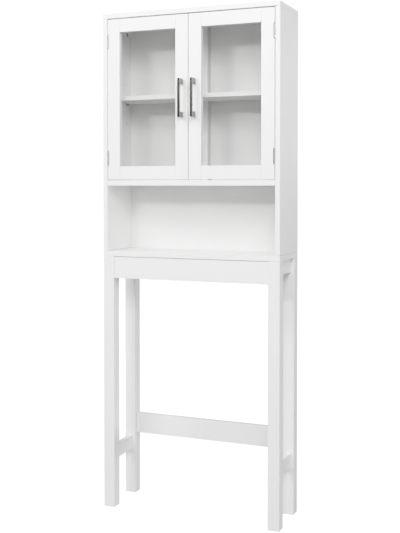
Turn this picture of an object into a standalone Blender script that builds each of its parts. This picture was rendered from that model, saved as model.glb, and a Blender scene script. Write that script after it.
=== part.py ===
"""Over-the-toilet storage rack.

A white painted cabinet with two glass doors and an open bay stands on a bench top, and the
bench top on four tall legs that straddle a toilet. Metres, +Z up, the doors face -Y. The
origin is on the floor, under the middle of the whole object's box.
"""

import math

import bmesh
import bpy
from mathutils import Matrix, Vector

# Overall size
WIDTH = 0.635
DEPTH = 0.203
HEIGHT = 1.700
HANDLE_REACH = 0.030
FIT_GAP = 0.0003

# The handles stand proud of the doors, so the boards sit back by half their reach.
FRONT_Y = -(DEPTH + HANDLE_REACH) / 2 + HANDLE_REACH
BACK_Y = FRONT_Y + DEPTH

# Boards
SIDE_THICK = 0.016
TOP_THICK = 0.016
SHELF_THICK = 0.018
BENCH_BOTTOM_Z = 0.870
BENCH_TOP_Z = BENCH_BOTTOM_Z + SHELF_THICK
BAY_TOP_Z = 1.1125
CABINET_FLOOR_Z = BAY_TOP_Z + SHELF_THICK
CABINET_CEILING_Z = HEIGHT - TOP_THICK
INNER_X = WIDTH / 2 - SIDE_THICK
BENCH_JOINT_GAP = 0.0006
BOARD_EDGE = 0.0008
BEVEL_STEPS = 2

# Back board, in a groove all round
BACK_THICK = 0.003
BACK_FRONT_Y = BACK_Y - 0.0205
GROOVE_DEPTH = 0.005
BRACE_WIDTH = 0.018
BRACE_DEPTH = 0.030

# Adjustable shelf and its pins
SHELF_FRONT_Y = FRONT_Y + 0.0295
SHELF_BACK_Y = BACK_FRONT_Y - 0.0015
SHELF_END_GAP = 0.0015
SHELF_NOTCH_GAP = 0.0020
SHELF_BOARD = 0.0145
PIN_RADIUS = 0.0025
PIN_HOLE_RADIUS = 0.0028
PIN_HOLE_DEPTH = 0.009
PIN_REACH = 0.009
PIN_COLLAR_RADIUS = 0.004
PIN_COLLAR_THICK = 0.0009
PIN_ROW_Z = 1.4025
PIN_PITCH = 0.0695
PIN_FRONT_Y = SHELF_FRONT_Y + 0.025
PIN_REAR_Y = BACK_FRONT_Y - 0.0345
SHELF_BOTTOM_Z = PIN_ROW_Z + PIN_RADIUS + FIT_GAP

# Cam locks that draw the top panel down on the side panels
CAM_RADIUS = 0.0072
CAM_POCKET_RADIUS = 0.0075
CAM_POCKET_DEPTH = 0.012
CAM_DROP = 0.032
CAM_FRONT_Y = FRONT_Y + 0.037
CAM_REAR_Y = BACK_Y - 0.0485
CAM_CROSS_LENGTH = 0.009
CAM_CROSS_WIDTH = 0.0016
CAM_CROSS_DEPTH = 0.0025

# Leg frame
LEG_SIZE = 0.040
LEG_EDGE = 0.0015
LEG_INNER_X = WIDTH / 2 - LEG_SIZE
LEG_CENTRE_X = WIDTH / 2 - LEG_SIZE / 2
LEG_CENTRE_REAR_Y = BACK_Y - LEG_SIZE / 2
RAIL_THICK = 0.016
APRON_BOTTOM_Z = 0.795
APRON_TOP_Z = BENCH_BOTTOM_Z - 0.0015
APRON_SETBACK = 0.0025
SIDE_APRON_BOTTOM_Z = 0.822
SIDE_STRETCHER_Z = (0.159, 0.208)
BACK_STRETCHER_Z = (0.218, 0.290)

# Doors
DOOR_THICK = 0.018
DOOR_SIDE_GAP = 0.0025
DOOR_MIDDLE_GAP = 0.003
DOOR_LOWER_GAP = 0.0026
DOOR_UPPER_GAP = 0.0038
FRAME_WIDTH = 0.045
DOOR_OUTER_X = INNER_X - DOOR_SIDE_GAP
DOOR_INNER_X = DOOR_MIDDLE_GAP / 2
DOOR_BOTTOM_Z = CABINET_FLOOR_Z + DOOR_LOWER_GAP
DOOR_TOP_Z = CABINET_CEILING_Z - DOOR_UPPER_GAP
DOOR_MIDDLE_Z = (DOOR_BOTTOM_Z + DOOR_TOP_Z) / 2
OPENING_X = (DOOR_INNER_X + FRAME_WIDTH, DOOR_OUTER_X - FRAME_WIDTH)
OPENING_Z = (DOOR_BOTTOM_Z + FRAME_WIDTH, DOOR_TOP_Z - FRAME_WIDTH)
LIP_DEPTH = 0.010
RABBET_WIDTH = 0.008
GLASS_THICK = 0.004
GLASS_PLAY = 0.0005
GLASS_FRONT_Y = FRONT_Y + LIP_DEPTH + FIT_GAP
BEAD_PLAY = 0.0004

# Handles: a square bar cast in one with its two posts
HANDLE_LENGTH = 0.128
HANDLE_WIDTH = 0.008
HANDLE_BAR_DEPTH = 0.0055
HANDLE_POST_LENGTH = 0.018
HANDLE_EDGE = 0.0005
HANDLE_X = 0.0225
HANDLE_Z = 1.4025

# Butt hinges, let into a notch in each outer stile
HINGE_AXIS_X = INNER_X - 0.0035
HINGE_OFFSET_Z = 0.1995
BARREL_RADIUS = 0.0028
BARREL_LENGTH = 0.047
KNUCKLE_GAP = 0.0004
LEAF_THICK = 0.0008
LEAF_DEPTH = 0.0125
TONGUE_INSET = 0.0003
PIN_BORE_RADIUS = 0.0013
HINGE_PIN_RADIUS = 0.0010
HINGE_PIN_HEAD_RADIUS = 0.0021
HINGE_PIN_HEAD_THICK = 0.0008
NOTCH_CLEARANCE = 0.0004
NOTCH_FLAT_HALF = 0.0252
NOTCH_TAPER = 0.004

# Double magnetic catch under the top panel, a strike plate on each door, and a door stop
CATCH_SIZE = Vector((0.060, 0.016, 0.013))
CATCH_EDGE = 0.0010
STRIKE_X = 0.0160
STRIKE_SIZE = Vector((0.024, 0.0012, 0.014))
STRIKE_DROP = 0.004
STRIKE_EDGE = 0.0002
STOP_X = 0.068
STOP_SIZE = Vector((0.012, 0.010, 0.008))

ROUND_SIDES = 24
SMALL_SIDES = 16
SMOOTH_ANGLE = math.radians(35)

PAINT = ("white_paint", (0.87, 0.87, 0.86, 1.0), 0.38, 0.0)
BOARD = ("back_board_white", (0.84, 0.84, 0.83, 1.0), 0.50, 0.0)
GLASS = ("clear_glass", (0.93, 0.96, 0.95, 1.0), 0.03, 0.0)
HANDLE_METAL = ("handle_nickel", (0.17, 0.165, 0.16, 1.0), 0.32, 1.0)
HINGE_METAL = ("hinge_nickel", (0.58, 0.57, 0.55, 1.0), 0.30, 1.0)
PLASTIC = ("catch_plastic", (0.24, 0.24, 0.235, 1.0), 0.45, 0.0)
CAM_METAL = ("cam_zinc", (0.42, 0.42, 0.42, 1.0), 0.45, 1.0)


def clear_scene():
    """Remove every object that the file opened with."""
    for obj in list(bpy.data.objects):
        bpy.data.objects.remove(obj, do_unlink=True)


def material(spec):
    """Return the named Principled material, made on first use."""
    name, colour, roughness, metallic = spec
    found = bpy.data.materials.get(name)
    if found:
        return found
    made = bpy.data.materials.new(name)
    made.use_nodes = True
    shader = made.node_tree.nodes["Principled BSDF"]
    shader.inputs["Base Color"].default_value = colour
    shader.inputs["Roughness"].default_value = roughness
    shader.inputs["Metallic"].default_value = metallic
    if spec is GLASS:
        shader.inputs["Transmission Weight"].default_value = 1.0
    made.diffuse_color = colour
    return made


def add_object(name, mesh, spec, place, parent=None):
    """Put a mesh in the scene at a world place, under a parent if there is one."""
    obj = bpy.data.objects.new(name, mesh)
    bpy.context.scene.collection.objects.link(obj)
    if not mesh.materials:
        mesh.materials.append(material(spec))
    obj.location = Vector(place)
    if parent:
        obj.parent = parent
        obj.location = Vector(place) - parent.location
    return obj


def add_pivot(name, place):
    """An empty on a joint's axis, which carries the pieces that turn about it."""
    pivot = bpy.data.objects.new(name, None)
    bpy.context.scene.collection.objects.link(pivot)
    pivot.location = Vector(place)
    pivot.empty_display_size = 0.05
    return pivot


def box_mesh(name, size):
    """A box of a given size, centred on its origin."""
    mesh = bpy.data.meshes.new(name)
    shape = bmesh.new()
    bmesh.ops.create_cube(shape, size=1.0, matrix=Matrix.Diagonal((*size, 1.0)))
    shape.to_mesh(mesh)
    shape.free()
    return mesh


def bevel(obj, width):
    """Ease an object's edges."""
    modifier = obj.modifiers.new("eased edges", "BEVEL")
    modifier.width = width
    modifier.segments = BEVEL_STEPS
    modifier.limit_method = "ANGLE"
    return obj


def board(name, low, high, spec=PAINT, edge=BOARD_EDGE, parent=None):
    """A board between two opposite corners, with eased edges."""
    low = Vector(low)
    high = Vector(high)
    obj = add_object(name, box_mesh(name, high - low), spec, (low + high) / 2, parent)
    return bevel(obj, edge)


def prism_mesh(name, outline, length, axis):
    """Extrude a flat outline by a length centred on the origin.

    Along Z the outline's points are x, y. Along X they are y, z.
    Along Y they are z, x.
    """
    turn = {"Z": (0, 1, 2), "X": (1, 2, 0), "Y": (2, 0, 1)}[axis]
    mesh = bpy.data.meshes.new(name)
    shape = bmesh.new()
    corners = []
    for across, up in outline:
        point = [0.0, 0.0, 0.0]
        point[turn[0]] = across
        point[turn[1]] = up
        point[turn[2]] = -length / 2
        corners.append(shape.verts.new(point))
    floor = shape.faces.new(corners)
    grown = bmesh.ops.extrude_face_region(shape, geom=[floor])
    shift = Vector((0.0, 0.0, 0.0))
    shift[turn[2]] = length
    top = [part for part in grown["geom"] if isinstance(part, bmesh.types.BMVert)]
    bmesh.ops.translate(shape, verts=top, vec=shift)
    bmesh.ops.recalc_face_normals(shape, faces=shape.faces)
    shape.to_mesh(mesh)
    shape.free()
    return mesh


def turned_mesh(name, profile, sides, axis="Z"):
    """Turn a profile of (radius, height) points, from the bottom centre to the top centre."""
    mesh = bpy.data.meshes.new(name)
    shape = bmesh.new()
    rings = []
    for radius, height in profile:
        if radius == 0.0:
            rings.append([shape.verts.new((0.0, 0.0, height))])
            continue
        angles = [2 * math.pi * step / sides for step in range(sides)]
        rings.append([shape.verts.new((radius * math.cos(a), radius * math.sin(a), height))
                      for a in angles])
    for lower, upper in zip(rings, rings[1:]):
        for step in range(sides):
            after = (step + 1) % sides
            if len(lower) == 1:
                shape.faces.new((lower[0], upper[after], upper[step]))
            elif len(upper) == 1:
                shape.faces.new((lower[step], lower[after], upper[0]))
            else:
                shape.faces.new((lower[step], lower[after], upper[after], upper[step]))
    bmesh.ops.recalc_face_normals(shape, faces=shape.faces)
    if axis == "X":
        bmesh.ops.rotate(shape, verts=shape.verts, matrix=Matrix.Rotation(math.pi / 2, 3, "Y"))
    shape.to_mesh(mesh)
    shape.free()
    mesh.shade_smooth()
    mesh.set_sharp_from_angle(angle=SMOOTH_ANGLE)
    return mesh


def add_cutter(mesh, place):
    """Place a cutting shape, kept out of the finished object."""
    cutter = bpy.data.objects.new(mesh.name, mesh)
    bpy.context.scene.collection.objects.link(cutter)
    cutter.location = Vector(place)
    cutter.hide_render = True
    cutter.display_type = "WIRE"
    return cutter


def box_cutter(name, low, high):
    """A box that cuts between two opposite corners."""
    low = Vector(low)
    high = Vector(high)
    return add_cutter(box_mesh(name, high - low), (low + high) / 2)


def boolean(obj, tool, operation="DIFFERENCE"):
    """Cut a shape out of an object, or join one to it."""
    modifier = obj.modifiers.new(tool.name, "BOOLEAN")
    modifier.operation = operation
    modifier.solver = "EXACT"
    modifier.object = tool
    return obj


def side_word(side):
    """Left is -X and right is +X, as seen from the front."""
    return "left" if side < 0 else "right"


def span(side, inner, outer):
    """The low and high X of a stretch given by its distances from the middle."""
    return (inner, outer) if side > 0 else (-outer, -inner)


def make_case():
    """The cabinet's boards."""
    top = board("top_panel", (-WIDTH / 2, FRONT_Y, CABINET_CEILING_Z), (WIDTH / 2, BACK_Y, HEIGHT))
    bench = board("bench_top", (-WIDTH / 2, FRONT_Y, BENCH_BOTTOM_Z),
                  (WIDTH / 2, BACK_Y, BENCH_TOP_Z))
    board("fixed_shelf", (-INNER_X + FIT_GAP, FRONT_Y, BAY_TOP_Z),
          (INNER_X - FIT_GAP, BACK_FRONT_Y - FIT_GAP, CABINET_FLOOR_Z))
    board("centre_back_brace",
          (-BRACE_WIDTH / 2, BACK_FRONT_Y - BRACE_DEPTH, CABINET_FLOOR_Z + FIT_GAP),
          (BRACE_WIDTH / 2, BACK_FRONT_Y - FIT_GAP, CABINET_CEILING_Z - FIT_GAP))
    groove = box_cutter(
        "back_groove",
        (-INNER_X - GROOVE_DEPTH, BACK_FRONT_Y - FIT_GAP, BENCH_TOP_Z - GROOVE_DEPTH),
        (INNER_X + GROOVE_DEPTH, BACK_FRONT_Y + BACK_THICK + FIT_GAP,
         CABINET_CEILING_Z + GROOVE_DEPTH))
    for obj in (top, bench):
        boolean(obj, groove)
    for side in (-1, 1):
        make_side_panel(side, groove)
    seat = GROOVE_DEPTH - FIT_GAP
    board("back_panel", (-INNER_X - seat, BACK_FRONT_Y, BENCH_TOP_Z - seat),
          (INNER_X + seat, BACK_FRONT_Y + BACK_THICK, CABINET_CEILING_Z + seat), BOARD,
          edge=BACK_THICK / 10)


def make_side_panel(side, groove):
    """A side panel with its groove, pin holes and cam pockets, and what sits in them."""
    word = side_word(side)
    low_x, high_x = span(side, INNER_X, WIDTH / 2)
    panel = board(word + "_side_panel", (low_x, FRONT_Y, BENCH_TOP_Z + BENCH_JOINT_GAP),
                  (high_x, BACK_Y, CABINET_CEILING_Z - FIT_GAP))
    boolean(panel, groove)
    for column_y in (PIN_FRONT_Y, PIN_REAR_Y):
        for row in (-1, 0, 1):
            place = (side * INNER_X, column_y, PIN_ROW_Z + row * PIN_PITCH)
            boolean(panel, round_cutter(PIN_HOLE_RADIUS, PIN_HOLE_DEPTH, SMALL_SIDES, place))
    for cam_y in (CAM_FRONT_Y, CAM_REAR_Y):
        place = (side * INNER_X, cam_y, CABINET_CEILING_Z - CAM_DROP)
        boolean(panel, round_cutter(CAM_POCKET_RADIUS, CAM_POCKET_DEPTH, ROUND_SIDES, place))


def round_cutter(radius, depth, sides, place):
    """A drill along X that sinks to a depth on either side of a face."""
    profile = ((0.0, -depth), (radius, -depth), (radius, depth), (0.0, depth))
    return add_cutter(turned_mesh("drill", profile, sides, "X"), place)


def make_shelf_pins():
    """Four collared pins in the middle row of holes."""
    inside = -PIN_HOLE_DEPTH + 2 * FIT_GAP
    profile = (
        (0.0, inside),
        (PIN_RADIUS, inside),
        (PIN_RADIUS, FIT_GAP),
        (PIN_COLLAR_RADIUS, FIT_GAP),
        (PIN_COLLAR_RADIUS, FIT_GAP + PIN_COLLAR_THICK),
        (PIN_RADIUS, FIT_GAP + PIN_COLLAR_THICK),
        (PIN_RADIUS, PIN_REACH),
        (0.0, PIN_REACH),
    )
    mesh = turned_mesh("shelf_pin", profile, SMALL_SIDES, "X")
    for side in (-1, 1):
        for row, column_y in (("front", PIN_FRONT_Y), ("rear", PIN_REAR_Y)):
            name = "{}_{}_shelf_pin".format(row, side_word(side))
            pin = add_object(name, mesh, HINGE_METAL, (side * INNER_X, column_y, PIN_ROW_Z))
            pin.rotation_euler.z = math.pi if side > 0 else 0.0


def make_cam_locks():
    """Four cam discs with a cross slot, sunk level with the side panels' inner faces."""
    deep = -CAM_POCKET_DEPTH + FIT_GAP
    profile = ((0.0, deep), (CAM_RADIUS, deep), (CAM_RADIUS, -FIT_GAP), (0.0, -FIT_GAP))
    mesh = turned_mesh("cam_lock", profile, ROUND_SIDES, "X")
    for side in (-1, 1):
        for row, cam_y in (("front", CAM_FRONT_Y), ("rear", CAM_REAR_Y)):
            name = "{}_{}_cam_lock".format(row, side_word(side))
            place = Vector((side * INNER_X, cam_y, CABINET_CEILING_Z - CAM_DROP))
            cam = add_object(name, mesh, CAM_METAL, place)
            cam.rotation_euler.z = math.pi if side > 0 else 0.0
            for tall in (CAM_CROSS_LENGTH, CAM_CROSS_WIDTH):
                wide = CAM_CROSS_LENGTH + CAM_CROSS_WIDTH - tall
                reach = Vector((CAM_CROSS_DEPTH, wide / 2, tall / 2))
                boolean(cam, box_cutter("cross_slot", place - reach, place + reach))


def make_adjustable_shelf():
    """The shelf that rests on the pins, notched round the centre brace."""
    shelf = board("adjustable_shelf", (-INNER_X + SHELF_END_GAP, SHELF_FRONT_Y, SHELF_BOTTOM_Z),
                  (INNER_X - SHELF_END_GAP, SHELF_BACK_Y, SHELF_BOTTOM_Z + SHELF_BOARD))
    half = BRACE_WIDTH / 2 + SHELF_NOTCH_GAP
    notch = box_cutter(
        "shelf_notch",
        (-half, BACK_FRONT_Y - BRACE_DEPTH - SHELF_NOTCH_GAP, SHELF_BOTTOM_Z - SHELF_BOARD),
        (half, BACK_Y, SHELF_BOTTOM_Z + 2 * SHELF_BOARD))
    boolean(shelf, notch)


def make_leg_frame():
    """Four legs, four aprons under the bench top and three stretchers."""
    leg_size = Vector((LEG_SIZE, LEG_SIZE, BENCH_BOTTOM_Z - FIT_GAP))
    leg_mesh = box_mesh("leg", leg_size)
    front_back_y = FRONT_Y + LEG_SIZE
    rear_front_y = BACK_Y - LEG_SIZE
    for side in (-1, 1):
        word = side_word(side)
        for row, leg_y in (("front", FRONT_Y + LEG_SIZE / 2), ("rear", LEG_CENTRE_REAR_Y)):
            name = "{}_{}_leg".format(row, word)
            bevel(add_object(name, leg_mesh, PAINT, (side * LEG_CENTRE_X, leg_y, leg_size.z / 2)),
                  LEG_EDGE)
        low_x, high_x = span(side, LEG_CENTRE_X - RAIL_THICK / 2, LEG_CENTRE_X + RAIL_THICK / 2)
        for name, bottom, top in (("apron", SIDE_APRON_BOTTOM_Z, APRON_TOP_Z),
                                  ("stretcher", *SIDE_STRETCHER_Z)):
            board("{}_{}".format(word, name), (low_x, front_back_y + FIT_GAP, bottom),
                  (high_x, rear_front_y - FIT_GAP, top))
    reach = LEG_INNER_X - FIT_GAP
    apron_y = FRONT_Y + APRON_SETBACK
    board("front_apron", (-reach, apron_y, APRON_BOTTOM_Z),
          (reach, apron_y + RAIL_THICK, APRON_TOP_Z))
    board("rear_apron", (-reach, BACK_Y - APRON_SETBACK - RAIL_THICK, APRON_BOTTOM_Z),
          (reach, BACK_Y - APRON_SETBACK, APRON_TOP_Z))
    board("back_stretcher", (-reach, LEG_CENTRE_REAR_Y - RAIL_THICK / 2, BACK_STRETCHER_Z[0]),
          (reach, LEG_CENTRE_REAR_Y + RAIL_THICK / 2, BACK_STRETCHER_Z[1]))


def make_door(side):
    """A framed glass door with its handle and strike plate, on a pivot at its hinges."""
    word = side_word(side)
    pivot = add_pivot(word + "_door_pivot", (side * HINGE_AXIS_X, FRONT_Y, DOOR_MIDDLE_Z))
    back_y = FRONT_Y + DOOR_THICK
    low_x, high_x = span(side, OPENING_X[0] - RABBET_WIDTH, OPENING_X[1] + RABBET_WIDTH)
    rabbet = box_cutter(
        word + "_glass_rabbet", (low_x, FRONT_Y + LIP_DEPTH, OPENING_Z[0] - RABBET_WIDTH),
        (high_x, back_y + LIP_DEPTH, OPENING_Z[1] + RABBET_WIDTH))
    stiles = (("inner_stile", DOOR_INNER_X, OPENING_X[0]),
              ("outer_stile", OPENING_X[1], DOOR_OUTER_X))
    for name, inner, outer in stiles:
        low_x, high_x = span(side, inner, outer)
        stile = board("{}_door_{}".format(word, name), (low_x, FRONT_Y, DOOR_BOTTOM_Z),
                      (high_x, back_y, DOOR_TOP_Z), parent=pivot)
        boolean(stile, rabbet)
        if name == "outer_stile":
            for offset in (-HINGE_OFFSET_Z, HINGE_OFFSET_Z):
                boolean(stile, notch_cutter(side, DOOR_MIDDLE_Z + offset))
    low_x, high_x = span(side, OPENING_X[0] + FIT_GAP, OPENING_X[1] - FIT_GAP)
    rails = (("bottom_rail", DOOR_BOTTOM_Z, OPENING_Z[0]), ("top_rail", OPENING_Z[1], DOOR_TOP_Z))
    for name, low_z, high_z in rails:
        rail = board("{}_door_{}".format(word, name), (low_x, FRONT_Y, low_z),
                     (high_x, back_y, high_z), parent=pivot)
        boolean(rail, rabbet)
    make_glazing(side, word, pivot)
    make_handle(side, word, pivot)
    strike_low = Vector((side * STRIKE_X - STRIKE_SIZE.x / 2, back_y + FIT_GAP,
                         DOOR_TOP_Z - STRIKE_DROP - STRIKE_SIZE.z))
    board(word + "_strike_plate", strike_low, strike_low + STRIKE_SIZE, HINGE_METAL,
          edge=STRIKE_EDGE, parent=pivot)
    return pivot


def notch_cutter(side, middle_z):
    """The hinge's notch in an outer stile: a shallow pocket with sloping ends."""
    floor_x = HINGE_AXIS_X - BARREL_RADIUS - NOTCH_CLEARANCE
    depth = BARREL_RADIUS + NOTCH_CLEARANCE
    mouth_x = DOOR_OUTER_X + NOTCH_CLEARANCE
    slope_half = NOTCH_FLAT_HALF + NOTCH_TAPER
    outline = [(-slope_half, side * mouth_x), (-NOTCH_FLAT_HALF, side * floor_x),
               (NOTCH_FLAT_HALF, side * floor_x), (slope_half, side * mouth_x)]
    mesh = prism_mesh("hinge_notch", outline, 2 * depth, "Y")
    return add_cutter(mesh, (0.0, FRONT_Y, middle_z))


def make_glazing(side, word, pivot):
    """The pane and the bead that holds it in its rabbet."""
    middle = Vector((side * sum(OPENING_X) / 2, 0.0, sum(OPENING_Z) / 2))
    opening = Vector((OPENING_X[1] - OPENING_X[0], 0.0, OPENING_Z[1] - OPENING_Z[0]))
    margin = Vector((1.0, 0.0, 1.0)) * 2 * (RABBET_WIDTH - GLASS_PLAY)
    pane = opening + margin
    low = middle - pane / 2 + Vector((0.0, GLASS_FRONT_Y, 0.0))
    high = middle + pane / 2 + Vector((0.0, GLASS_FRONT_Y + GLASS_THICK, 0.0))
    board(word + "_door_glass", low, high, GLASS, edge=BOARD_EDGE / 2, parent=pivot)
    bead_outer = opening + Vector((1.0, 0.0, 1.0)) * 2 * (RABBET_WIDTH - BEAD_PLAY)
    bead_front = GLASS_FRONT_Y + GLASS_THICK + FIT_GAP
    bead_back = FRONT_Y + DOOR_THICK - FIT_GAP
    low = middle - bead_outer / 2 + Vector((0.0, bead_front, 0.0))
    high = middle + bead_outer / 2 + Vector((0.0, bead_back, 0.0))
    bead = board(word + "_glass_bead", low, high, parent=pivot, edge=BOARD_EDGE / 2)
    low = middle - opening / 2 + Vector((0.0, bead_front - LIP_DEPTH, 0.0))
    high = middle + opening / 2 + Vector((0.0, bead_back + LIP_DEPTH, 0.0))
    boolean(bead, box_cutter(word + "_bead_opening", low, high))


def make_handle(side, word, pivot):
    """A square pull: one bar with a post at each end."""
    half = HANDLE_LENGTH / 2
    post = half - HANDLE_POST_LENGTH
    bar_front = -HANDLE_REACH
    bar_back = -HANDLE_REACH + HANDLE_BAR_DEPTH
    foot = -FIT_GAP
    outline = ((foot, -half), (foot, -post), (bar_back, -post), (bar_back, post),
               (foot, post), (foot, half), (bar_front, half), (bar_front, -half))
    mesh = prism_mesh(word + "_handle", outline, HANDLE_WIDTH, "X")
    place = (side * HANDLE_X, FRONT_Y, HANDLE_Z)
    bevel(add_object(word + "_handle", mesh, HANDLE_METAL, place, pivot), HANDLE_EDGE)


def knuckle_spans():
    """The heights of a hinge's lower, middle and upper knuckles, from its middle."""
    half = BARREL_LENGTH / 2
    centre = (BARREL_LENGTH - 2 * KNUCKLE_GAP) / 6
    return (-half, -centre - KNUCKLE_GAP), (-centre, centre), (centre + KNUCKLE_GAP, half)


def leaf_outline(knuckles):
    """A leaf's outline, whose front edge has a tongue to each of its own knuckles."""
    half = BARREL_LENGTH / 2 - TONGUE_INSET
    clear = BARREL_RADIUS + FIT_GAP
    front = [(clear, half)]
    for low, high in reversed(knuckles):
        low += TONGUE_INSET
        high -= TONGUE_INSET
        front += [(clear, high), (0.0, high), (0.0, low), (clear, low)]
    front.append((clear, -half))
    # A tongue at the leaf's end leaves no step there, so that corner was listed twice.
    corners = [point for point in front if front.count(point) == 1]
    return [(LEAF_DEPTH, -half), (LEAF_DEPTH, half)] + corners


def leaf_object(name, side, middle_z, inner_x, knuckles, parent=None):
    """A hinge leaf: a plate that runs back from the barrel, with its knuckles and bore."""
    mesh = prism_mesh(name, leaf_outline(knuckles), LEAF_THICK, "X")
    place = (side * (inner_x + LEAF_THICK / 2), FRONT_Y, middle_z)
    leaf = add_object(name, mesh, HINGE_METAL, place, parent)
    axis = Vector((side * HINGE_AXIS_X, FRONT_Y, middle_z))
    for low, high in knuckles:
        profile = ((0.0, low), (BARREL_RADIUS, low), (BARREL_RADIUS, high), (0.0, high))
        boolean(leaf, add_cutter(turned_mesh("knuckle", profile, ROUND_SIDES), axis), "UNION")
    profile = ((0.0, -BARREL_LENGTH), (PIN_BORE_RADIUS, -BARREL_LENGTH),
               (PIN_BORE_RADIUS, BARREL_LENGTH), (0.0, BARREL_LENGTH))
    return boolean(leaf, add_cutter(turned_mesh("pin_bore", profile, SMALL_SIDES), axis))


def make_hinge(side, level, offset, pivot):
    """A butt hinge: the case's leaf, the door's leaf and the headed pin."""
    word = side_word(side)
    middle_z = DOOR_MIDDLE_Z + offset
    lower, middle, upper = knuckle_spans()
    case_leaf_x = INNER_X - FIT_GAP - LEAF_THICK
    door_leaf_x = DOOR_OUTER_X + FIT_GAP
    leaf_object("{}_{}_hinge_case_leaf".format(word, level), side, middle_z, case_leaf_x,
                (lower, upper))
    leaf_object("{}_{}_hinge_door_leaf".format(word, level), side, middle_z, door_leaf_x,
                (middle,), pivot)
    end = BARREL_LENGTH / 2 + FIT_GAP
    head = end + HINGE_PIN_HEAD_THICK
    profile = ((0.0, -head), (HINGE_PIN_HEAD_RADIUS, -head), (HINGE_PIN_HEAD_RADIUS, -end),
               (HINGE_PIN_RADIUS, -end), (HINGE_PIN_RADIUS, end),
               (HINGE_PIN_HEAD_RADIUS, end), (HINGE_PIN_HEAD_RADIUS, head), (0.0, head))
    mesh = turned_mesh("hinge_pin", profile, SMALL_SIDES)
    add_object("{}_{}_hinge_pin".format(word, level), mesh, HINGE_METAL,
               (side * HINGE_AXIS_X, FRONT_Y, middle_z))


def make_catch():
    """A double magnetic catch under the top panel, just behind the doors' strike plates."""
    front_y = FRONT_Y + DOOR_THICK + 2 * FIT_GAP + STRIKE_SIZE.y
    low = Vector((-CATCH_SIZE.x / 2, front_y, CABINET_CEILING_Z - FIT_GAP - CATCH_SIZE.z))
    board("magnetic_catch", low, low + CATCH_SIZE, PLASTIC, edge=CATCH_EDGE)


def make_door_stop():
    """A small block on the cabinet floor that the right door closes against."""
    low = Vector((STOP_X - STOP_SIZE.x / 2, FRONT_Y + DOOR_THICK + 2 * FIT_GAP,
                  CABINET_FLOOR_Z + FIT_GAP))
    board("door_stop", low, low + STOP_SIZE, PLASTIC, edge=CATCH_EDGE)


def main():
    """Build the whole rack."""
    clear_scene()
    make_case()
    make_shelf_pins()
    make_cam_locks()
    make_adjustable_shelf()
    make_leg_frame()
    for side in (-1, 1):
        pivot = make_door(side)
        for level, offset in (("lower", -HINGE_OFFSET_Z), ("upper", HINGE_OFFSET_Z)):
            make_hinge(side, level, offset, pivot)
    make_catch()
    make_door_stop()


main()
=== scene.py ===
"""Looks for the over-the-toilet storage rack: finishes, small hardware, studio and camera."""

import math

import bmesh
import bpy
from mathutils import Matrix, Vector


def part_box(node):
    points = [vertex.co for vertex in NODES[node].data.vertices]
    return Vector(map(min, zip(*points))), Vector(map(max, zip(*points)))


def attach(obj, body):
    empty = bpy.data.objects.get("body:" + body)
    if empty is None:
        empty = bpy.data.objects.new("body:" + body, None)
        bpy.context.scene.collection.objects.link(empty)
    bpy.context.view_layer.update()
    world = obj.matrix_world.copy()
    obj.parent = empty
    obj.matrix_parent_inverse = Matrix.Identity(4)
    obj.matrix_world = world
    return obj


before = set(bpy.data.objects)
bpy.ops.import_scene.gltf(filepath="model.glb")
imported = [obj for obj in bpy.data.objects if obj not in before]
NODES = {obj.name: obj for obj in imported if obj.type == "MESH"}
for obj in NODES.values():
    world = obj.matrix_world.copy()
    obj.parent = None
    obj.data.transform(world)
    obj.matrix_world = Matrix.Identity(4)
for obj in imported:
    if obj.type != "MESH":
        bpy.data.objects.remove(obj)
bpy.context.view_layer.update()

# Camera, in metres and degrees
CAMERA_PLACE = (1.1814, -2.8532, 1.1117)
CAMERA_TURN = 22.372
CAMERA_TILT_DOWN = 1.343
CAMERA_LENS = 61.29
CAMERA_SHIFT_UP = -0.11127

# Screw heads, in metres: radius, and how far they stand out
HANDLE_SCREW = (0.0038, 0.0019)
STRIKE_SCREW = (0.0024, 0.0007)
HINGE_SCREW = (0.0021, 0.00012)
# Screw places: in from a handle's end, either side of a strike plate's middle, in from a hinge
# leaf's end and forward of its back edge
HANDLE_SCREW_INSET = 0.009
STRIKE_SCREW_X = 0.008
HINGE_SCREW_INSET = 0.0085
HINGE_SCREW_BACK = 0.005
# The cross recess: its arm and width as shares of the head's radius, its top and bottom as
# shares of the head's rise, and how much it narrows
CROSS_ARM = 0.62
CROSS_WIDTH = 0.24
CROSS_TOP = 1.5
CROSS_BOTTOM = 0.25
CROSS_TAPER = 0.6
DOME_STEPS = 10
SCREW_SIDES = 40
MERGE_DISTANCE = 0.0000005
SHARP_ANGLE = math.radians(35)

# Spare holes for the shelf pins, in metres: their linings of raw board
PIN_PITCH = 0.0695
BORE_RADIUS = 0.00277
BORE_DEPTH = 0.0088
BORE_SKIN = 0.0005
BORE_SINK = 0.0002
BORE_SIDES = 16

# Finishes: the range that a noise mostly keeps to, and how far timber grain and brush lines are
# drawn out
NOISE_LOW = 0.3
NOISE_HIGH = 0.7
GRAIN_STRETCH = 0.03

# Studio
BACKDROP_WHITE = 2.6
# The room's bright sides: bearing from straight ahead, in degrees, and strength
ROOM_GLOW = ((30.0, 3.2), (67.0, 3.3), (130.0, 9.0))
GLOW_SHARPNESS = 16.0
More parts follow.
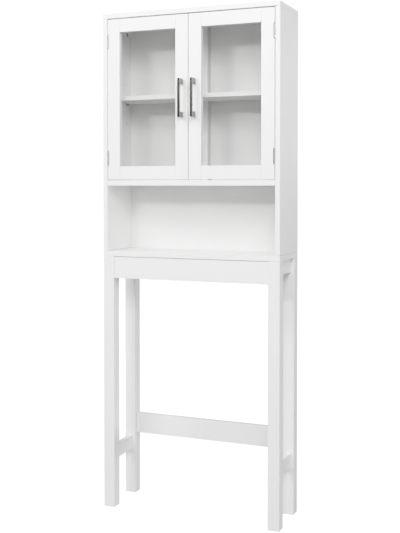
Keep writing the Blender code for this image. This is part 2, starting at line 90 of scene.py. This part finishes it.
# Soft boxes: watts, width and height in metres, bearing and rise in degrees
SOFT_BOXES = {
    "left_low": (24.0, 1.0, 0.45, -28.0, 19.5),
    "left_middle": (80.0, 0.8, 0.3, -13.0, 18.5),
    "left_high": (98.0, 1.2, 0.9, -28.0, 40.0),
    "left_side": (143.0, 1.1, 1.6, -66.0, 33.0),
    "front_low": (31.0, 0.8, 0.4, 18.0, 20.0),
    "front_high": (38.0, 0.8, 0.6, 18.0, 33.0),
    "right_low": (48.0, 0.8, 0.5, 27.0, 24.0),
    "right_wide": (68.0, 1.8, 0.7, 28.0, 33.0),
    "right_high": (64.0, 1.1, 0.9, 48.0, 45.0),
    "behind": (70.0, 1.8, 1.2, 180.0, 8.0),
}
BOX_DISTANCE = 5.0
BOX_AIM = Vector((0.0, 0.0, 1.10))
FLOOR_RADIUS = 30.0
FLOOR_SIDES = 64
FLOOR_GLOW = 0.09
FLOOR_GLOW_SEEN = 2.6

# Film response: how soon bright tones flatten out, and the brightness that prints as white
SHOULDER = 0.6
FILM_WHITE = 1.0 / (1.0 - SHOULDER)
CURVE_POINTS = 14
COMBINED_CURVE = 3


class Graph:
    """A material's node tree, with short calls for what the finishes share."""

    def __init__(self, name, colour, roughness, metallic=0.0):
        self.material = bpy.data.materials.new(name)
        self.material.use_nodes = True
        self.tree = self.material.node_tree
        self.shader = self.tree.nodes["Principled BSDF"]
        self.output = self.tree.nodes["Material Output"]
        self.set(self.shader, **{"Base Color": colour, "Roughness": roughness, "Metallic": metallic})

    def set(self, node, **values):
        """Gives sockets a value, or links them where the value is a socket."""
        for name, value in values.items():
            socket = node.inputs[name.replace("_", " ")]
            if isinstance(value, bpy.types.NodeSocket):
                self.tree.links.new(value, socket)
            else:
                socket.default_value = value
        return node

    def node(self, kind, **values):
        return self.set(self.tree.nodes.new(kind), **values)

    def place(self, stretch=(1.0, 1.0, 1.0)):
        """Coordinates in metres in the rack's own frame, squeezed along each axis by stretch."""
        coordinates = self.node("ShaderNodeTexCoord").outputs["Object"]
        return self.node("ShaderNodeMapping", Vector=coordinates, Scale=stretch).outputs["Vector"]

    def noise(self, scale, detail=2.0, stretch=(1.0, 1.0, 1.0), roughness=0.5):
        node = self.node(
            "ShaderNodeTexNoise",
            Vector=self.place(stretch),
            Scale=scale,
            Detail=detail,
            Roughness=roughness,
        )
        return node.outputs["Fac"]

    def spread(self, value, low, high):
        """Maps a noise on the range low to high."""
        node = self.node(
            "ShaderNodeMapRange",
            Value=value,
            From_Min=NOISE_LOW,
            From_Max=NOISE_HIGH,
            To_Min=low,
            To_Max=high,
        )
        return node.outputs["Result"]

    def tint(self, value, dark, light):
        """A colour between dark and light, by value from 0 to 1."""
        node = self.tree.nodes.new("ShaderNodeMix")
        node.data_type = "RGBA"
        self.set(node, Factor=value, A=dark, B=light)
        return node.outputs["Result"]

    def bump(self, height, depth, normal=None):
        """Relief of depth metres."""
        node = self.node("ShaderNodeBump", Height=height, Strength=1.0, Distance=depth)
        if normal is not None:
            self.tree.links.new(normal, node.inputs["Normal"])
        return node.outputs["Normal"]


def rgb(red, green, blue):
    return (red, green, blue, 1.0)


def math_node(tree, operation, *values):
    """A math node, given numbers and sockets. Returns what comes out of it."""
    node = tree.nodes.new("ShaderNodeMath")
    node.operation = operation
    for socket, value in zip(node.inputs, values):
        if isinstance(value, bpy.types.NodeSocket):
            tree.links.new(value, socket)
        else:
            socket.default_value = value
    return node.outputs[0]


def drawn_out(axis):
    """The stretch of a texture whose marks run along one axis."""
    stretch = [1.0, 1.0, 1.0]
    stretch[axis] = GRAIN_STRETCH
    return stretch


def paint(name, grain_axis=None):
    """Satin white lacquer: sprayed on smooth board, or on timber whose grain shows a little."""
    graph = Graph(name, rgb(0.87, 0.87, 0.865), 0.38)
    tone = graph.spread(graph.noise(7.0, 3.0), 0.0, 1.0)
    colour = graph.tint(tone, rgb(0.858, 0.858, 0.852), rgb(0.880, 0.880, 0.876))
    roughness = graph.spread(graph.noise(60.0, 3.0), 0.33, 0.43)
    relief = graph.bump(graph.noise(900.0, 2.0), 0.000012)
    if grain_axis is not None:
        relief = graph.bump(graph.noise(520.0, 4.0, drawn_out(grain_axis)), 0.00003, relief)
    graph.set(graph.shader, **{"Base Color": colour, "Roughness": roughness, "Normal": relief})
    return graph.material


def brace_painted_shade_finish():
    """Lacquer on the centre brace with painted shade and light: its sides are painted darker, and its
    front lighter than the board lacquer, for how light falls on it.
    """
    graph = Graph("lacquer_on_brace_painted_shade", rgb(0.87, 0.87, 0.865), 0.4)
    facing = graph.node("ShaderNodeTexCoord").outputs["Normal"]
    across = graph.node("ShaderNodeSeparateXYZ", Vector=facing).outputs["X"]
    painted_shade_mask = math_node(graph.tree, "ABSOLUTE", across)
    # Painted shade and light: faces turned along X get a darker colour, and the front a lighter one.
    colour = graph.tint(painted_shade_mask, rgb(0.93, 0.93, 0.925), rgb(0.66, 0.66, 0.655))
    roughness = graph.spread(graph.noise(60.0, 3.0), 0.36, 0.48)
    relief = graph.bump(graph.noise(520.0, 4.0, drawn_out(2)), 0.00003)
    graph.set(graph.shader, **{"Base Color": colour, "Roughness": roughness, "Normal": relief})
    return graph.material


def back_board_finish():
    """Thin hardboard under a printed white foil."""
    graph = Graph("back_board_foil", rgb(0.85, 0.85, 0.845), 0.5)
    tone = graph.spread(graph.noise(9.0, 3.0), 0.0, 1.0)
    colour = graph.tint(tone, rgb(0.838, 0.838, 0.832), rgb(0.862, 0.862, 0.858))
    roughness = graph.spread(graph.noise(90.0, 3.0), 0.45, 0.56)
    relief = graph.bump(graph.noise(1400.0, 2.0), 0.000015)
    graph.set(graph.shader, **{"Base Color": colour, "Roughness": roughness, "Normal": relief})
    return graph.material


def glass_finish():
    """Clear float glass. Light from lamps and white surfaces shines through it on what is behind."""
    graph = Graph("clear_float_glass", rgb(0.979, 0.982, 0.980), 0.01)
    roughness = graph.spread(graph.noise(18.0, 3.0), 0.0, 0.03)
    graph.set(graph.shader, **{"Transmission Weight": 1.0, "IOR": 1.5, "Roughness": roughness})
    path = graph.node("ShaderNodeLightPath")
    clear = graph.node("ShaderNodeBsdfTransparent", Color=rgb(0.910, 0.911, 0.910))
    surface = graph.shader.outputs["BSDF"]
    for ray in ("Is Diffuse Ray", "Is Shadow Ray"):
        mix = graph.node("ShaderNodeMixShader", Fac=path.outputs[ray])
        graph.tree.links.new(surface, mix.inputs[1])
        graph.tree.links.new(clear.outputs["BSDF"], mix.inputs[2])
        surface = mix.outputs["Shader"]
    graph.tree.links.new(surface, graph.output.inputs["Surface"])
    return graph.material


def brushed_metal(name, dark, light, roughness, brush_axis=2, depth=0.000012):
    """Plated metal with fine brush lines along one axis."""
    graph = Graph(name, light, sum(roughness) / 2, 1.0)
    lines = graph.noise(2600.0, 3.0, drawn_out(brush_axis))
    colour = graph.tint(graph.spread(graph.noise(120.0, 2.0), 0.0, 1.0), dark, light)
    graph.set(
        graph.shader,
        **{
            "Base Color": colour,
            "Roughness": graph.spread(lines, *roughness),
            "Normal": graph.bump(lines, depth),
        },
    )
    return graph.material


def cast_zinc():
    """Grey die-cast zinc with a fine skin."""
    graph = Graph("cast_zinc", rgb(0.33, 0.33, 0.33), 0.45, 1.0)
    tone = graph.spread(graph.noise(500.0, 3.0), 0.0, 1.0)
    colour = graph.tint(tone, rgb(0.28, 0.28, 0.28), rgb(0.38, 0.38, 0.385))
    roughness = graph.spread(graph.noise(800.0, 2.0), 0.38, 0.55)
    relief = graph.bump(graph.noise(1500.0, 2.0), 0.00003)
    graph.set(graph.shader, **{"Base Color": colour, "Roughness": roughness, "Normal": relief})
    return graph.material


def moulded_plastic():
    """Grey moulded plastic with a fine spark-eroded grain."""
    graph = Graph("moulded_grey_plastic", rgb(0.24, 0.24, 0.235), 0.45)
    tone = graph.spread(graph.noise(60.0, 2.0), 0.0, 1.0)
    colour = graph.tint(tone, rgb(0.225, 0.225, 0.22), rgb(0.255, 0.255, 0.25))
    roughness = graph.spread(graph.noise(700.0, 2.0), 0.40, 0.52)
    relief = graph.bump(graph.noise(2500.0, 2.0), 0.00002)
    graph.set(graph.shader, **{"Base Color": colour, "Roughness": roughness, "Normal": relief})
    return graph.material


def raw_board():
    """Bare fibreboard, as a drill leaves it."""
    graph = Graph("raw_fibreboard", rgb(0.20, 0.13, 0.08), 0.9)
    tone = graph.spread(graph.noise(2500.0, 4.0), 0.0, 1.0)
    colour = graph.tint(tone, rgb(0.13, 0.085, 0.05), rgb(0.26, 0.18, 0.115))
    roughness = graph.spread(graph.noise(3000.0, 2.0), 0.8, 0.95)
    relief = graph.bump(graph.noise(4000.0, 3.0), 0.00006)
    graph.set(graph.shader, **{"Base Color": colour, "Roughness": roughness, "Normal": relief})
    return graph.material


def long_axis(name):
    """The axis, 0 to 2, that a CAD node is longest along."""
    low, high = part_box(name)
    size = high - low
    return max(range(3), key=lambda axis: size[axis])


TIMBER_WORDS = ("leg", "apron", "stretcher", "stile", "rail", "bead")


def finish_nodes():
    """Gives each CAD node its finish, by its material slot."""
    board_paint = paint("lacquer_on_board")
    # The brace's lacquer carries painted shade on its sides and painted light on its front.
    brace = brace_painted_shade_finish()
    timber_paint = [paint(f"lacquer_on_timber_{letter}", axis) for axis, letter in enumerate("xyz")]
    finishes = {
        "back_board": back_board_finish(),
        "glass": glass_finish(),
        "handle_metal": brushed_metal(
            "brushed_dark_nickel", rgb(0.20, 0.196, 0.190), rgb(0.25, 0.245, 0.238), (0.13, 0.22)
        ),
        "hinge_metal": brushed_metal(
            "satin_nickel", rgb(0.42, 0.413, 0.40), rgb(0.49, 0.482, 0.467), (0.22, 0.32)
        ),
        "cam_metal": cast_zinc(),
        "catch_plastic": moulded_plastic(),
    }
    for name, node in NODES.items():
        slot = node.material_slots[0]
        if name == "centre_back_brace":
            slot.material = brace
        elif slot.material.name != "white_paint":
            slot.material = finishes[slot.material.name]
        elif name.split("_")[-1] in TIMBER_WORDS:
            slot.material = timber_paint[long_axis(name)]
        else:
            slot.material = board_paint
    return finishes


def turned_mesh(name, profile, sides):
    """A closed solid turned round Z. Its profile of (radius, height) pairs runs from axis to axis."""
    shape = bmesh.new()
    points = [shape.verts.new((radius, 0.0, height)) for radius, height in profile]
    edges = [shape.edges.new(pair) for pair in zip(points, points[1:])]
    bmesh.ops.spin(
        shape,
        geom=points + edges,
        axis=(0, 0, 1),
        cent=(0, 0, 0),
        angle=math.tau,
        steps=sides,
    )
    bmesh.ops.remove_doubles(shape, verts=shape.verts, dist=MERGE_DISTANCE)
    bmesh.ops.recalc_face_normals(shape, faces=shape.faces)
    return finished_mesh(name, shape)


def cross_mesh(name, arm, width, top, bottom):
    """A cross-shaped plug whose arms taper towards its bottom."""
    shape = bmesh.new()
    rings = []
    for height, size in ((bottom, CROSS_TAPER), (top, 1.0)):
        corners = ((arm * size, -width / 2), (arm * size, width / 2), (width / 2, width / 2))
        ring = []
        for quarter in range(4):
            turn = Matrix.Rotation(quarter * math.pi / 2, 3, "Z")
            ring += [shape.verts.new(turn @ Vector((*corner, height))) for corner in corners]
        rings.append(ring)
    low, high = rings
    shape.faces.new(reversed(low))
    shape.faces.new(high)
    for index, vertex in enumerate(low):
        after = (index + 1) % len(low)
        shape.faces.new((vertex, low[after], high[after], high[index]))
    bmesh.ops.recalc_face_normals(shape, faces=shape.faces)
    return finished_mesh(name, shape)


def finished_mesh(name, shape):
    """Turns a shape in progress into a mesh."""
    mesh = bpy.data.meshes.new(name)
    shape.to_mesh(mesh)
    shape.free()
    return mesh


def screw_mesh(radius, rise):
    """A domed screw head with a cross recess, standing rise high on the plane at height 0."""
    turns = [math.pi / 2 * step / DOME_STEPS for step in range(DOME_STEPS)]
    dome = [(radius * math.cos(turn), rise * math.sin(turn)) for turn in turns]
    profile = [(0.0, 0.0), *dome, (0.0, rise)]
    head = bpy.data.objects.new("head", turned_mesh("head", profile, SCREW_SIDES))
    plug_mesh = cross_mesh(
        "plug",
        arm=radius * CROSS_ARM,
        width=radius * CROSS_WIDTH,
        top=rise * CROSS_TOP,
        bottom=rise * CROSS_BOTTOM,
    )
    plug = bpy.data.objects.new("plug", plug_mesh)
    for item in (head, plug):
        bpy.context.scene.collection.objects.link(item)
    cut = head.modifiers.new("recess", "BOOLEAN")
    cut.operation = "DIFFERENCE"
    cut.object = plug
    evaluated = head.evaluated_get(bpy.context.evaluated_depsgraph_get())
    mesh = bpy.data.meshes.new_from_object(evaluated)
    mesh.shade_smooth()
    mesh.set_sharp_from_angle(angle=SHARP_ANGLE)
    for item in (head, plug):
        bpy.data.objects.remove(item)
    return mesh


def add_screw(name, mesh, body, place, facing, finish):
    """A screw head at a place on a body, facing along a direction."""
    mesh = mesh.copy()
    mesh.name = name
    mesh.materials.clear()
    mesh.materials.append(finish)
    screw = bpy.data.objects.new(name, mesh)
    bpy.context.scene.collection.objects.link(screw)
    screw.location = place
    screw.rotation_euler = Vector(facing).to_track_quat("Z", "Y").to_euler()
    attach(screw, body)


def plate_face(node, facing):
    """Where the plate of a hinge leaf ends along X, on the side that it faces."""
    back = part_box(node)[1].y
    across = [v.co.x for v in NODES[node].data.vertices if v.co.y > back - HINGE_SCREW_BACK]
    return max(across) if facing > 0 else min(across)


def add_screws(finish):
    """The screws that hold the handles, the strike plates and the hinge leaves."""
    big, small, flush = (screw_mesh(*size) for size in (HANDLE_SCREW, STRIKE_SCREW, HINGE_SCREW))
    for side, word in ((-1, "left"), (1, "right")):
        door = word + "_door"
        low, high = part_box(word + "_handle")
        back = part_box(word + "_door_inner_stile")[1].y
        middle = (low.x + high.x) / 2
        for level, z in (("lower", low.z + HANDLE_SCREW_INSET), ("upper", high.z - HANDLE_SCREW_INSET)):
            place = (middle, back, z)
            add_screw(f"{word}_{level}_handle_screw", big, door, place, (0, 1, 0), finish)
        low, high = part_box(word + "_strike_plate")
        centre = (low + high) / 2
        for end, way in (("inner", -side), ("outer", side)):
            place = (centre.x + way * STRIKE_SCREW_X, high.y, centre.z)
            add_screw(f"{word}_{end}_strike_screw", small, door, place, (0, 1, 0), finish)
        for level in ("lower", "upper"):
            for leaf, body, facing in (("case", "case", -side), ("door", door, side)):
                node = f"{word}_{level}_hinge_{leaf}_leaf"
                low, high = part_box(node)
                face = plate_face(node, facing)
                depth = high.y - HINGE_SCREW_BACK
                for end, z in (("bottom", low.z + HINGE_SCREW_INSET), ("top", high.z - HINGE_SCREW_INSET)):
                    name = f"{node}_{end}_screw"
                    add_screw(name, flush, body, (face, depth, z), (facing, 0, 0), finish)


def add_bores(finish):
    """The bare walls of the pin holes that stand empty, above and below each shelf pin."""
    inner = BORE_RADIUS - BORE_SKIN
    inner_depth = BORE_DEPTH - BORE_SKIN
    profile = (
        (0.0, -BORE_DEPTH),
        (BORE_RADIUS, -BORE_DEPTH),
        (BORE_RADIUS, -BORE_SINK),
        (inner, -BORE_SINK),
        (inner, -inner_depth),
        (0.0, -inner_depth),
    )
    cup = turned_mesh("bore", profile, BORE_SIDES)
    for side, word in ((-1, "left"), (1, "right")):
        low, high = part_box(word + "_side_panel")
        face = high.x if side < 0 else low.x
        for row in ("front", "rear"):
            low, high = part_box(f"{row}_{word}_shelf_pin")
            centre = (low + high) / 2
            for level, z in (("lower", centre.z - PIN_PITCH), ("upper", centre.z + PIN_PITCH)):
                mesh = cup.copy()
                mesh.materials.append(finish)
                bore = bpy.data.objects.new(f"{row}_{word}_{level}_bore", mesh)
                bpy.context.scene.collection.objects.link(bore)
                bore.location = (face, centre.y, z)
                bore.rotation_euler = Vector((-side, 0, 0)).to_track_quat("Z", "Y").to_euler()
                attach(bore, "case")


def seen_by_camera(tree):
    """1 for what the camera sees directly or through glass, 0 in a reflection or for other light."""
    path = tree.nodes.new("ShaderNodeLightPath")
    mirrored = math_node(tree, "MINIMUM", path.outputs["Glossy Depth"], 1.0)
    through_glass = math_node(tree, "SUBTRACT", path.outputs["Is Transmission Ray"], mirrored)
    return math_node(tree, "MAXIMUM", path.outputs["Is Camera Ray"], through_glass)


def make_floor():
    """A plain pale floor that runs out past the view."""
    shape = bmesh.new()
    bmesh.ops.create_circle(shape, cap_ends=True, radius=FLOOR_RADIUS, segments=FLOOR_SIDES)
    floor = bpy.data.objects.new("floor", finished_mesh("floor", shape))
    bpy.context.scene.collection.objects.link(floor)
    graph = Graph("pale_floor", rgb(0.3, 0.3, 0.3), 0.9)
    graph.set(graph.shader, **{"Specular IOR Level": 0.1})
    seen = seen_by_camera(graph.tree)
    glow = math_node(graph.tree, "MULTIPLY_ADD", seen, FLOOR_GLOW_SEEN, FLOOR_GLOW)
    graph.set(graph.shader, **{"Emission Color": rgb(1, 1, 1), "Emission Strength": glow})
    floor.data.materials.append(graph.material)


def make_room_light():
    """A white backdrop for the camera, and for all other light a room with a few bright sides."""
    world = bpy.data.worlds.new("studio")
    bpy.context.scene.world = world
    world.use_nodes = True
    tree = world.node_tree
    tree.nodes.clear()
    direction = tree.nodes.new("ShaderNodeTexCoord").outputs["Generated"]
    glow = 0.0
    for bearing, strength in ROOM_GLOW:
        turn = math.radians(bearing)
        facing = tree.nodes.new("ShaderNodeVectorMath")
        facing.operation = "DOT_PRODUCT"
        facing.inputs[1].default_value = (math.sin(turn), -math.cos(turn), 0.0)
        tree.links.new(direction, facing.inputs[0])
        ahead = math_node(tree, "MAXIMUM", facing.outputs["Value"], 0.0)
        lobe = math_node(tree, "POWER", ahead, GLOW_SHARPNESS)
        glow = math_node(tree, "MULTIPLY_ADD", lobe, strength, glow)
    seen = seen_by_camera(tree)
    hidden = math_node(tree, "MULTIPLY", math_node(tree, "SUBTRACT", 1.0, seen), glow)
    shown = math_node(tree, "MULTIPLY", seen, BACKDROP_WHITE)
    background = tree.nodes.new("ShaderNodeBackground")
    background.inputs["Color"].default_value = rgb(1, 1, 1)
    tree.links.new(math_node(tree, "ADD", hidden, shown), background.inputs["Strength"])
    output = tree.nodes.new("ShaderNodeOutputWorld")
    tree.links.new(background.outputs[0], output.inputs["Surface"])


def make_soft_box(name, watts, width, height, turn, rise):
    """A soft box that faces the rack, and that neither the camera nor a pane shows."""
    light = bpy.data.lights.new(name, "AREA")
    light.shape = "RECTANGLE"
    light.size = width
    light.size_y = height
    light.energy = watts
    lamp = bpy.data.objects.new(name, light)
    bpy.context.scene.collection.objects.link(lamp)
    turn, rise = math.radians(turn), math.radians(rise)
    out = Vector((math.sin(turn) * math.cos(rise), -math.cos(turn) * math.cos(rise), math.sin(rise)))
    lamp.location = BOX_AIM + out * BOX_DISTANCE
    lamp.rotation_euler = out.to_track_quat("Z", "Y").to_euler()
    lamp.visible_camera = False
    lamp.visible_transmission = False


def set_film_response():
    """Bright tones flatten out as on film: x / (1 + SHOULDER * x), with FILM_WHITE as white."""
    settings = bpy.context.scene.view_settings
    settings.view_transform = "Standard"
    settings.use_curve_mapping = True
    mapping = settings.curve_mapping
    mapping.white_level = (FILM_WHITE,) * 3
    curve = mapping.curves[COMBINED_CURVE]
    for index in range(1, CURVE_POINTS):
        share = (index / CURVE_POINTS) ** 2
        light = share * FILM_WHITE
        curve.points.new(share, light / (1.0 + SHOULDER * light))
    mapping.update()


def make_camera():
    """A long view from the right of the doors, with its frame shifted down a little."""
    camera = bpy.data.cameras.new("camera")
    camera.lens = CAMERA_LENS
    camera.shift_y = CAMERA_SHIFT_UP
    camera_object = bpy.data.objects.new("camera", camera)
    camera_object.location = CAMERA_PLACE
    camera_object.rotation_euler = (
        math.radians(90.0 - CAMERA_TILT_DOWN),
        0.0,
        math.radians(CAMERA_TURN),
    )
    bpy.context.scene.collection.objects.link(camera_object)
    bpy.context.scene.camera = camera_object


finishes = finish_nodes()
add_screws(finishes["hinge_metal"])
add_bores(raw_board())
make_floor()
make_room_light()
for name, settings in SOFT_BOXES.items():
    make_soft_box(name, *settings)
make_camera()
set_film_response()
